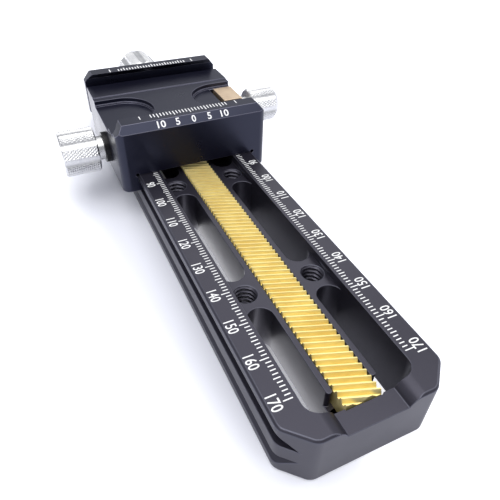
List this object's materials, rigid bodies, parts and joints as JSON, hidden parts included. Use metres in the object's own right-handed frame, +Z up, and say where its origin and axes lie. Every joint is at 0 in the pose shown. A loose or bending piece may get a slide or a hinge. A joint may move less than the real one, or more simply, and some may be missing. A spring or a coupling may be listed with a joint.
{
  "type": "macro focusing rail",
  "caption": "Double dovetail rail with a skewed rack, a pinion-driven carriage and a quick-release clamp, worked by fluted drive, lock and clamp knobs.",
  "frame": {"origin": "centre of the rail's bottom face", "axes": "+Y along the rail towards its far end, +Z up towards the clamp, +X towards the lock knob"},
  "size_m": [0.0779, 0.18, 0.0308],
  "materials": {
    "black_anodised": "satin black anodised",
    "rack_brass": "machined",
    "brake_brass": "sanded",
    "bare_aluminium": "clear anodised, knurled",
    "steel": "machined",
    "black_acetal": "satin"
  },
  "bodies": {
    "rail": {"rail_base": "black_anodised", "brass_rack": "rack_brass", "rack_screws": "steel"},
    "carriage": {"carriage_body": "black_anodised", "pinion_bushing": "black_acetal", "inner_bush": "rack_brass", "guide_pins": "steel", "jaw_springs": "steel"},
    "pinion": {"pinion_gear": "steel", "pinion_shaft": "steel", "pinion_washers": "rack_brass", "drive_knob": "bare_aluminium", "drive_collar": "bare_aluminium", "drive_grub_screw": "steel"},
    "brake": {"brake_block": "brake_brass"},
    "lock": {"lock_knob": "bare_aluminium", "lock_collar": "bare_aluminium", "lock_screw": "steel", "lock_washer": "black_acetal", "lock_grub_screw": "steel"},
    "jaw": {"moving_jaw": "black_anodised"},
    "clamp": {"clamp_knob": "bare_aluminium", "clamp_collar": "bare_aluminium", "clamp_screw": "steel", "clamp_washer": "black_acetal", "clamp_grub_screw": "steel"}
  },
  "joints": [
    {"name": "carriage_travel", "type": "slide", "parent": "rail", "child": "carriage", "axis": [0, 1, 0], "range_m": [-0.0966, 0.035]},
    {"name": "drive_turn", "type": "hinge", "parent": "carriage", "child": "pinion", "pos_m": [0, 0.0248, 0.01683], "axis": [1, 0, 0], "range_deg": [-510, 1370]},
    {"name": "brake_press", "type": "slide", "parent": "carriage", "child": "brake", "axis": [1, 0, 0], "range_m": [-0.000175, 0.0007]},
    {"name": "lock_turn", "type": "hinge", "parent": "brake", "child": "lock", "pos_m": [0.03, 0.0311, 0.019], "axis": [1, 0, 0], "range_deg": [-100, 370]},
    {"name": "jaw_slide", "type": "slide", "parent": "carriage", "child": "jaw", "axis": [0, 1, 0], "range_m": [-0.0017, 0.0024], "deforming": ["jaw_springs"]},
    {"name": "clamp_turn", "type": "hinge", "parent": "jaw", "child": "clamp", "pos_m": [0, 0.06, 0.0211], "axis": [0, 1, 0], "range_deg": [-630, 880]}
  ],
  "couplings": [
    {"joint": "drive_turn", "follows": "carriage_travel", "rad_per_m": -242.41},
    {"joint": "lock_turn", "follows": "brake_press", "rad_per_m": 8976},
    {"joint": "clamp_turn", "follows": "jaw_slide", "rad_per_m": 6283.2}
  ]
}
